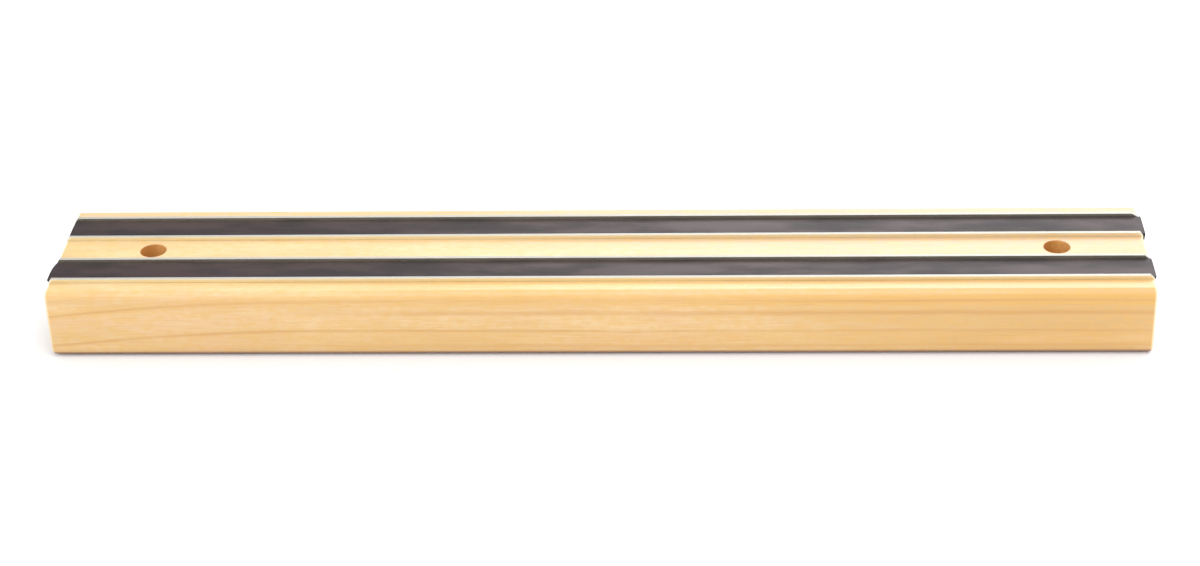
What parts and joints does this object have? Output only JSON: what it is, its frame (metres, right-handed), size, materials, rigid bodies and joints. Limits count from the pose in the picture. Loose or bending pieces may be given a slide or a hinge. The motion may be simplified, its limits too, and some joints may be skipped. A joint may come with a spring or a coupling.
{
  "type": "magnetic knife rack",
  "caption": "Wooden bar with magnetic strips let into its face along its whole length, which hold knives flat by their blades; counterbored screw holes near its ends.",
  "frame": {"origin": "middle of the flat back face, which lies on the wall, or on the table as in the picture", "axes": "+X along the bar, +Y up when the bar hangs on a wall, +Z away from the wall, out of the magnetic face"},
  "size_m": [0.3315, 0.053, 0.0232],
  "materials": {
    "wood": "satin",
    "pole_steel": "satin",
    "cover_strip": "satin",
    "ferrite": "matte"
  },
  "bodies": {
    "root": {"wood_bar": "wood", "pole_plate_lower_outer": "pole_steel", "pole_plate_lower_inner": "pole_steel", "pole_plate_upper_inner": "pole_steel", "pole_plate_upper_outer": "pole_steel", "cover_strip_lower": "cover_strip", "cover_strip_upper": "cover_strip", "magnet_lower_1": "ferrite", "magnet_lower_2": "ferrite", "magnet_lower_3": "ferrite", "magnet_lower_4": "ferrite", "magnet_lower_5": "ferrite", "magnet_lower_6": "ferrite", "magnet_lower_7": "ferrite", "magnet_lower_8": "ferrite", "magnet_upper_1": "ferrite", "magnet_upper_2": "ferrite", "magnet_upper_3": "ferrite", "magnet_upper_4": "ferrite", "magnet_upper_5": "ferrite", "magnet_upper_6": "ferrite", "magnet_upper_7": "ferrite", "magnet_upper_8": "ferrite"}
  },
  "joints": []
}
